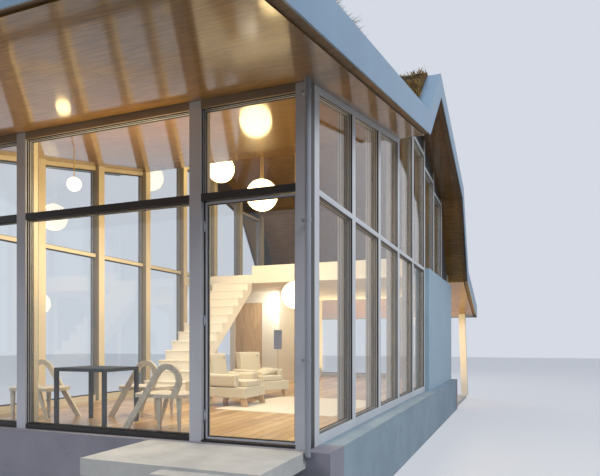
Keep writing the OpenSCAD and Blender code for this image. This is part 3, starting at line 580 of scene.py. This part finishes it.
def grow_grass(name, i, seed, overhang_m=0.0, tufts_per_m2=80, blades_a_tuft=12, edge_tufts_per_m=160,
               blades_an_edge_tuft=7, sunk=0.01):
    """Tufts all over a slope, and along its side edges some that lean out over the flange."""
    rng = random.Random(seed)
    low = fold_above(i, roof_thick + mat_thick - sunk)
    high = fold_above(i + 1, roof_thick + mat_thick - sunk)
    run = high - low
    start = flange_width if i == 0 else 0.0
    end = run.length - (flange_width if i == len(folds) - 2 else 0.0)
    points = []
    faces = []
    for _ in range(int(tufts_per_m2 * (end - start) * 2 * mat_half_width)):
        s = rng.uniform(start, end) / run.length
        foot = Vector((rng.uniform(-mat_half_width, mat_half_width), low.x + run.x * s, low.y + run.y * s))
        tall = rng.triangular(0.06, 0.19, 0.12)
        wind = Vector((rng.gauss(0, 0.2), rng.gauss(0, 0.2), 0))
        for _ in range(blades_a_tuft):
            out = Vector((rng.gauss(0, 0.028), rng.gauss(0, 0.028), 0))
            root = foot + out
            root.x = max(-mat_half_width, min(mat_half_width, root.x))
            lean = (Vector((0, 0, 1)) + wind + out * 11).normalized()
            add_blade(points, faces, rng, root, lean, tall * rng.uniform(0.6, 1.0))
    for _ in range(int(overhang_m * edge_tufts_per_m)):
        s = rng.triangular(start, start + overhang_m, start + 0.4 * overhang_m) / run.length
        side = rng.choice((-1, 1))
        foot = Vector((side * (mat_half_width - 0.02), low.x + run.x * s, low.y + run.y * s))
        reach = rng.uniform(0.3, 2.2)
        for _ in range(blades_an_edge_tuft):
            root = foot + Vector((0, rng.gauss(0, 0.02), 0))
            lean = Vector((side * reach, rng.gauss(0, 0.4), 1)).normalized()
            add_blade(points, faces, rng, root, lean, rng.uniform(0.15, 0.24))
    mesh = bpy.data.meshes.new(name)
    mesh.from_pydata([tuple(p) for p in points], [], faces)
    mesh.materials.append(dry_blade)
    piece = bpy.data.objects.new(name, mesh)
    scene.collection.objects.link(piece)
    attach(piece, "house")


grow_grass("grass_front", 0, 40, overhang_m=3.2)
grow_grass("grass_rise", 1, 41)
grow_grass("grass_back", 2, 42)
grow_grass("grass_steep", 3, 43)
grow_grass("grass_porch", 4, 44)


# Porch columns and everything painted white inside.
# Planed softwood and plasterboard under a matt warm white wall paint, rolled on, with
# the faint stipple that a roller leaves.
def rolled_paint(name, colour, shade, stipple_mm=4.0, drift_mm=1111.0):
    mat = start_material(name)
    place = add(mat, "ShaderNodeTexCoord").outputs["Object"]
    stipple = add(mat, "ShaderNodeTexNoise", {"Vector": place, "Scale": 1000 / stipple_mm, "Detail": 2.0})
    drift = add(mat, "ShaderNodeTexNoise", {"Vector": place, "Scale": 1000 / drift_mm, "Detail": 4.0})
    tone = ramp(mat, drift.outputs["Fac"], [(0.3, shade), (0.7, colour)])
    bump = add(mat, "ShaderNodeBump", {"Height": stipple.outputs["Fac"], "Strength": 0.12, "Distance": 0.001})
    shader = add(mat, "ShaderNodeBsdfPrincipled", {"Base Color": tone, "Roughness": 0.6,
                                                   "Normal": bump.outputs["Normal"]})
    return close_material(mat, shader.outputs["BSDF"])


warm_white = rolled_paint("rolled warm white", "#efe9db", "#e6dfcf")
for name in ("porch_columns", "stair_flight", "gallery_floor", "gallery_parapet", "partition"):
    paint(name, warm_white)
    arris(name, 4)


# Stair nosings.
# A planed softwood strip with a rounded front is let into the edge of every step, painted
# with the flight. It stands 12 mm proud, so that each step throws a thin shadow.
def stair_nosings(proud=0.012, thick=0.028, deep=0.070, rounding=(0.008, 0.010), raised=0.002,
                  past_side=0.006):
    """One strip at the front of each level face of the flight, in metres."""
    flight = nodes["stair_flight"].data
    treads = {}
    for face in flight.polygons:
        if face.normal.z > 0.99:
            corners = [flight.vertices[k].co for k in face.vertices]
            treads.setdefault(round(corners[0].z, 4), []).extend(corners)
    across, down = rounding
    profile = [(deep, raised), (deep, -thick), (across - proud, -thick), (-proud, down - thick),
               (-proud, -down), (across - proud, raised)]
    points = []
    faces = []
    for top, corners in sorted(treads.items()):
        front = min(c.y for c in corners)
        first = len(points)
        for x in (min(c.x for c in corners) - past_side, max(c.x for c in corners) + past_side):
            points += [(x, front + y, top + z) for y, z in profile]
        count = len(profile)
        for k in range(count):
            after = (k + 1) % count
            faces.append((first + k, first + after, first + count + after, first + count + k))
        faces.append(tuple(first + k for k in reversed(range(count))))
        faces.append(tuple(first + count + k for k in range(count)))
    mesh = bpy.data.meshes.new("stair_nosings")
    mesh.from_pydata(points, [], faces)
    mesh.materials.append(warm_white)
    piece = bpy.data.objects.new("stair_nosings", mesh)
    scene.collection.objects.link(piece)
    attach(piece, "house")


stair_nosings()


# Inner door.
# A flush door in rotary cut cherry veneer, whose broad upright grain shows through a
# satin lacquer. It stands shut in the inner wall.
def lacquered_wood(name, grain_mm=(44.4, 44.4, 400.0)):
    mat = start_material(name)
    place = add(mat, "ShaderNodeTexCoord").outputs["Object"]
    stretch = add(mat, "ShaderNodeMapping", {"Vector": place, "Scale": [1000 / size for size in grain_mm]})
    grain = add(mat, "ShaderNodeTexNoise", {"Vector": stretch.outputs["Vector"], "Scale": 1.0, "Detail": 6.0,
                                            "Distortion": 1.2})
    tone = ramp(mat, grain.outputs["Fac"], [(0.3, "#b8966b"), (0.7, "#dbb98c")])
    shader = add(mat, "ShaderNodeBsdfPrincipled", {"Base Color": tone, "Roughness": 0.4})
    return close_material(mat, shader.outputs["BSDF"])


paint("partition_door", lacquered_wood("lacquered cherry veneer"))


# Dining table.
# A frame welded from square steel tube under a thin steel sheet top, all powder coated
# a dark slate that hardly shines.
slate_coat = powder_coat("slate powder coat", "#333a40", "#2c3238", 0.6)
paint("table_top", slate_coat)
paint("table_legs", slate_coat)
arris("table_top", 4)
arris("table_legs", 3)


# Dining chairs.
# Strips of beech laminated and bent into one hoop a chair, at the left hand, stained
# pale grey brown, with a moulded plywood seat on four tapered legs.
def bent_beech(name, grain_mm=(41.7, 8.33, 83.3)):
    mat = start_material(name)
    place = add(mat, "ShaderNodeTexCoord").outputs["Object"]
    stretch = add(mat, "ShaderNodeMapping", {"Vector": place, "Scale": [1000 / size for size in grain_mm]})
    grain = add(mat, "ShaderNodeTexNoise", {"Vector": stretch.outputs["Vector"], "Scale": 1.0, "Detail": 5.0})
    tone = ramp(mat, grain.outputs["Fac"], [(0.3, "#bfb49f"), (0.7, "#dbd1bd")])
    shader = add(mat, "ShaderNodeBsdfPrincipled", {"Base Color": tone, "Roughness": 0.45})
    return close_material(mat, shader.outputs["BSDF"])


stained_beech = bent_beech("stained bent beech")
paint("chair_frames", stained_beech)
paint("chair_seats", stained_beech)
arris("chair_frames", 5)
arris("chair_seats", 12, 3)


# Armchairs.
# Timber frames upholstered in a cream wool weave, with loose seat cushions, on splayed
# feet of lacquered beech.
def woven_cloth(name, light, dark, thread_mm=12.0, fleck_mm=16.7):
    """The threads are drawn coarser than the real 2 mm, so that they show. Bands of scale 1 repeat
    every tau / 20 metres."""
    mat = start_material(name)
    place = add(mat, "ShaderNodeTexCoord").outputs["Object"]
    bands = math.tau / 20 * 1000 / thread_mm
    warp = add(mat, "ShaderNodeTexWave", {"Vector": place, "Scale": bands, "Distortion": 1.0},
               bands_direction="X")
    weft = add(mat, "ShaderNodeTexWave", {"Vector": place, "Scale": bands, "Distortion": 1.0},
               bands_direction="Z")
    fleck = add(mat, "ShaderNodeTexNoise", {"Vector": place, "Scale": 1000 / fleck_mm, "Detail": 5.0})
    crossed = add(mat, "ShaderNodeMath", {0: warp.outputs["Fac"], 1: weft.outputs["Fac"]},
                  operation="MULTIPLY")
    tone = ramp(mat, fleck.outputs["Fac"], [(0.3, dark), (0.7, light)])
    bump = add(mat, "ShaderNodeBump", {"Height": crossed.outputs["Value"], "Strength": 0.4,
                                       "Distance": 0.002})
    shader = add(mat, "ShaderNodeBsdfPrincipled", {"Base Color": tone, "Roughness": 0.9, "Sheen Weight": 0.3,
                                                   "Sheen Roughness": 0.5, "Normal": bump.outputs["Normal"]})
    return close_material(mat, shader.outputs["BSDF"])


cream_wool = woven_cloth("cream wool weave", "#d8cfb9", "#c6bca3")
far_chair_turn = math.radians(-24)
between_chairs_y = -2.2


def chair_turn(place):
    """The far armchair is turned a little, the near one stands square."""
    return far_chair_turn if place.y > between_chairs_y else 0.0


def solids_of(form):
    """The separate solids of a mesh, each as a list of its vertices."""
    left = set(form.verts)
    found = []
    while left:
        group = []
        reach = [left.pop()]
        while reach:
            vert = reach.pop()
            group.append(vert)
            for edge in vert.link_edges:
                other = edge.other_vert(vert)
                if other in left:
                    left.remove(other)
                    reach.append(other)
        found.append(group)
    return found


def tucked_case(form, tuck_mm):
    """Draws every side of each solid in, to leave room for the filling to swell."""
    tuck = tuck_mm / 1000
    for group in solids_of(form):
        middle = sum((v.co for v in group), Vector()) / len(group)
        turn = Matrix.Rotation(chair_turn(middle), 3, "Z")
        for vert in group:
            local = turn.inverted() @ (vert.co - middle)
            local = Vector([c - math.copysign(tuck, c) if abs(c) > 2 * tuck else c for c in local])
            vert.co = middle + turn @ local


def shaped(piece, frame_number):
    """A new mesh of a piece with its modifiers, at a frame or as it stands."""
    if frame_number is not None:
        scene.frame_set(frame_number)
    graph = bpy.context.evaluated_depsgraph_get()
    return bpy.data.meshes.new_from_object(piece.evaluated_get(graph))


def stuff(piece, swell_mm, voxel_mm, last_frame=20):
    """Fills a case as cloth under pressure, and keeps the result in its mesh."""
    scene.collection.objects.link(piece)
    grid = piece.modifiers.new("case", "REMESH")
    grid.mode = "VOXEL"
    grid.voxel_size = voxel_mm / 1000
    cloth = piece.modifiers.new("filling", "CLOTH")
    cloth.settings.use_pressure = True
    cloth.settings.uniform_pressure_force = 4.0
    cloth.settings.effector_weights.gravity = 0.0
    cloth.collision_settings.use_collision = False
    cloth.collision_settings.use_self_collision = False
    rest = [v.co.copy() for v in shaped(piece, 1).vertices]
    for frame_number in range(2, last_frame + 1):
        scene.frame_set(frame_number)
    full = shaped(piece, None)
    full.name = piece.name
    swell = swell_mm / 1000
    for vert, start in zip(full.vertices, rest):
        move = vert.co - start
        if move.length > swell:
            vert.co = start + move * (swell / move.length)
    piece.modifiers.clear()
    piece.data = full
    scene.frame_set(1)
    smooth = piece.modifiers.new("smooth", "SUBSURF")
    smooth.levels = 1
    smooth.render_levels = 1
    for face in full.polygons:
        face.use_smooth = True


def upholster(name, node_name, tuck_mm, swell_mm):
    """Puts a stuffed case in the place of each solid of a node."""
    form = bmesh.new()
    form.from_mesh(nodes[node_name].data)
    bmesh.ops.remove_doubles(form, verts=form.verts, dist=1e-5)
    tucked_case(form, tuck_mm)
    mesh = bpy.data.meshes.new(name)
    form.to_mesh(mesh)
    form.free()
    mesh.materials.append(cream_wool)
    piece = bpy.data.objects.new(name, mesh)
    stuff(piece, swell_mm, voxel_mm=14)
    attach(piece, "house")
    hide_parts(node_name)


upholster("padded_bases", "armchair_bases", tuck_mm=3, swell_mm=3)
upholster("padded_arms", "armchair_arms", tuck_mm=4, swell_mm=5)
upholster("padded_backs", "armchair_backs", tuck_mm=5, swell_mm=9)
upholster("seat_cushions", "armchair_cushions", tuck_mm=5, swell_mm=9)
paint("armchair_feet", lacquered_wood("lacquered beech"))


# Loose cushion and buttons.
# A small feather cushion of the same wool lies on the far armchair against its arm. Each
# back has one black rubber button, sewn through near its top corner.
far_chair_middle = Vector((-0.050, -1.495, floor_z))
near_chair_middle = Vector((0.130, -2.905, floor_z))


def in_chair(place, far):
    """A place in an armchair's own frame, in metres, brought into the house."""
    turn = Matrix.Rotation(far_chair_turn if far else 0.0, 3, "Z")
    middle = far_chair_middle if far else near_chair_middle
    return middle + turn @ place


def loose_cushion(wide=0.36, deep=0.44, thick=0.05, tilt=math.radians(14)):
    form = bmesh.new()
    bmesh.ops.create_grid(form, x_segments=10, y_segments=8, size=0.5)
    for vert in form.verts:
        vert.co = Vector((vert.co.x * wide, vert.co.y * deep, 0.0))
    bmesh.ops.solidify(form, geom=form.faces, thickness=thick)
    lean = Matrix.Rotation(far_chair_turn, 4, "Z") @ Matrix.Rotation(tilt, 4, "X")
    bmesh.ops.transform(form, matrix=lean, verts=form.verts)
    bmesh.ops.translate(form, vec=in_chair(Vector((0.06, 0.04, 0.50)), True), verts=form.verts)
    mesh = bpy.data.meshes.new("feather_cushion")
    form.to_mesh(mesh)
    form.free()
    mesh.materials.append(cream_wool)
    piece = bpy.data.objects.new("feather_cushion", mesh)
    stuff(piece, swell_mm=34, voxel_mm=9)
    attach(piece, "house")


loose_cushion()


def back_buttons(radius=0.014, flatness=0.45):
    form = bmesh.new()
    for far in (False, True):
        done = set(form.verts)
        bmesh.ops.create_uvsphere(form, u_segments=16, v_segments=8, radius=radius)
        fresh = [v for v in form.verts if v not in done]
        for vert in fresh:
            vert.co.x *= flatness
            vert.co = in_chair(Vector((-0.288, 0.17, 0.80)) + vert.co, far)
    mesh = bpy.data.meshes.new("back_buttons")
    form.to_mesh(mesh)
    form.free()
    mesh.materials.append(black_rubber)
    piece = bpy.data.objects.new("back_buttons", mesh)
    scene.collection.objects.link(piece)
    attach(piece, "house")


back_buttons()


# Rug.
# Hand tufted wool pile on a woven back, off white, laid loose on the boards, so that it
# lifts in faint waves and its cut edge rounds over.
def tufted_rug(wide=2.08, deep=2.30, pile=0.012, square=0.020, wave=0.0006, cut_edge=0.45,
               above_boards=0.0005):
    """A closed sheet of two grids of squares, joined round the rim, in metres."""
    rng = random.Random(7)
    waves = [(rng.uniform(2, 6), rng.uniform(2, 6), rng.uniform(0, 6.28)) for _ in range(5)]
    columns = round(wide / square)
    rows = round(deep / square)
    turn = Matrix.Rotation(math.radians(-5), 3, "Z")
    corner = Vector((0.150, -3.605, floor_z))
    points = []
    for layer in (0, 1):
        for j in range(rows + 1):
            for i in range(columns + 1):
                x = wide * i / columns
                y = deep * j / rows
                edge = min(x, y, wide - x, deep - y)
                lift = sum(math.sin(a * x + b * y + c) for a, b, c in waves) * wave
                top = pile * (cut_edge if edge < 0.001 else 1.0) + lift
                z = top if layer else above_boards
                points.append(corner + turn @ Vector((x, y, z)))
    step = columns + 1
    upper = step * (rows + 1)
    faces = []
    for j in range(rows):
        for i in range(columns):
            k = j * step + i
            faces.append((upper + k, upper + k + 1, upper + k + 1 + step, upper + k + step))
            faces.append((k, k + step, k + 1 + step, k + 1))
    rim = list(range(columns)) + [columns + j * step for j in range(rows)]
    rim += [rows * step + i for i in range(columns, 0, -1)] + [j * step for j in range(rows, 0, -1)]
    for here, there in zip(rim, rim[1:] + rim[:1]):
        faces.append((here, there, upper + there, upper + here))
    mesh = bpy.data.meshes.new("tufted_rug")
    mesh.from_pydata([tuple(q) for q in points], [], faces)
    mesh.materials.append(woven_cloth("off white tufted wool", "#e2dac6", "#d1c7af", 24.0))
    for face in mesh.polygons:
        face.use_smooth = True
    piece = bpy.data.objects.new("tufted_rug", mesh)
    scene.collection.objects.link(piece)
    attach(piece, "house")
    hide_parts("rug")


tufted_rug()


# Lamps.
# Blown opal glass globes, lit, on thin steel rods with a brass coloured coat, and a floor
# lamp with a drum shade of slate blue linen on a rod with the same coat.
def opal_glass(name, strength):
    mat = start_material(name)
    shader = add(mat, "ShaderNodeBsdfPrincipled", {
        "Base Color": "#fff3d8", "Roughness": 0.25, "Emission Color": "#ffdf9e",
        "Emission Strength": strength})
    return close_material(mat, shader.outputs["BSDF"])


paint("pendant_globes", opal_glass("lit opal glass", 8.0))
rod_coat = powder_coat("brass coloured powder coat", "#c3a868", "#b0965a", 0.3)
paint("pendant_stems", rod_coat)
paint("floor_lamp", woven_cloth("slate blue linen", "#98a8cc", "#8695ba", 8.0))
shade_low_z = floor_z + 0.899
nodes["floor_lamp"].data.materials.append(rod_coat)
for face in nodes["floor_lamp"].data.polygons:
    if face.center.z < shade_low_z:
        face.material_index = 1


# Studio.
# A pale floor, a pale surround and large soft lamps. What the camera, glass and gloss
# see is pale, and the light that falls on the house from there is plainer.
def background_share(tree_owner, seen):
    """1 where a ray shows the background: seen, through glass or mirrored."""
    through = add(tree_owner, "ShaderNodeMath", {0: seen.outputs["Is Camera Ray"],
                                                 1: seen.outputs["Is Transmission Ray"]}, operation="MAXIMUM")
    mirrored = add(tree_owner, "ShaderNodeMath", {0: through.outputs["Value"],
                                                  1: seen.outputs["Is Glossy Ray"]}, operation="MAXIMUM")
    return mirrored.outputs["Value"]


def studio_floor(size=60.0, z=-0.002, own_glow=0.55):
    mesh = bpy.data.meshes.new("studio_floor")
    mesh.from_pydata([(-size, -size, z), (size, -size, z), (size, size, z), (-size, size, z)],
                     [], [(0, 1, 2, 3)])
    mat = start_material("pale studio floor")
    seen = add(mat, "ShaderNodeLightPath")
    tone = add(mat, "ShaderNodeMix", {"Factor": background_share(mat, seen), "A": "#8f8f8f", "B": "#dcdcdc"},
               data_type="RGBA")
    lit = add(mat, "ShaderNodeBsdfPrincipled", {"Base Color": tone.outputs["Result"], "Roughness": 0.9})
    flat = add(mat, "ShaderNodeEmission", {"Color": "#d5dae4", "Strength": 1.0})
    part = add(mat, "ShaderNodeMath", {0: background_share(mat, seen), 1: own_glow}, operation="MULTIPLY")
    both = add(mat, "ShaderNodeMixShader", {"Fac": part.outputs["Value"], 1: lit.outputs["BSDF"],
                                            2: flat.outputs["Emission"]})
    close_material(mat, both.outputs["Shader"])
    mesh.materials.append(mat)
    floor = bpy.data.objects.new("studio_floor", mesh)
    scene.collection.objects.link(floor)


studio_floor()

world = bpy.data.worlds.new("studio")
scene.world = world
world.use_nodes = True
world.node_tree.nodes.clear()
seen = add(world, "ShaderNodeLightPath")
fill = add(world, "ShaderNodeBackground", {"Color": "#cdd6e6", "Strength": 0.6})
plain = add(world, "ShaderNodeBackground", {"Color": "#d5dae4", "Strength": 1.0})
pick = add(world, "ShaderNodeMixShader", {"Fac": background_share(world, seen), 1: fill.outputs["Background"],
                                          2: plain.outputs["Background"]})
add(world, "ShaderNodeOutputWorld", {"Surface": pick.outputs["Shader"]})


def soft_lamp(name, place, aim, size, watts, colour="#ffffff", kind="AREA"):
    light = bpy.data.lights.new(name, kind)
    if kind == "AREA":
        light.shape = "SQUARE"
        light.size = size
    else:
        light.shadow_soft_size = size
    light.energy = watts
    light.color = linear(colour)[:3]
    lamp = bpy.data.objects.new(name, light)
    lamp.location = place
    lamp.rotation_euler = (Vector(aim) - Vector(place)).to_track_quat("-Z", "Y").to_euler()
    lamp.visible_camera = False
    lamp.visible_glossy = False
    scene.collection.objects.link(lamp)


soft_lamp("key", (17, -8, 16), (0, 0, 2), size=9, watts=2700)
soft_lamp("fill", (-9, -18, 11), (0, 0, 2), size=10, watts=1350)
soft_lamp("back", (-7, 18, 11), (0, 3, 2), size=9, watts=1000)
soft_lamp("room_front", (0, -4.2, 4.2), (0, -4.2, 0), size=2.5, watts=110, colour="#fff3dc")
soft_lamp("room_back", (0, -1.8, 4.6), (0, -1.8, 0), size=2.5, watts=50, colour="#fff3dc")
soft_lamp("under_gallery", (0.4, 2.5, 3.2), (0.4, 2.5, 0), size=2.5, watts=30, colour="#fff3dc")
soft_lamp("gallery", (0, 1.8, 6.1), (0, 1.8, 0), size=2.0, watts=30, colour="#fff3dc")
soft_lamp("ceiling", (0, -4.2, 2.4), (0, -4.2, 5), size=2.5, watts=115, colour="#ffd693")
soft_lamp("eave", (0, -7.8, 3.3), (0, -7.8, 5), size=2.5, watts=12, colour="#ffdca0")
soft_lamp("wall_washer", (-0.95, 1.4, 3.15), (-1.3, 1.85, 1.9), size=0.3, watts=22, colour="#fff6e8")
soft_lamp("porch", (0, 7.3, 0.3), (0, 7.3, 3), size=2.2, watts=470, colour="#ffe2a8")
soft_lamp("table_light", (0.56, -5.57, 3.73), (0.56, -5.57, 0), size=0.3, watts=75, colour="#ffe4b0",
          kind="POINT")
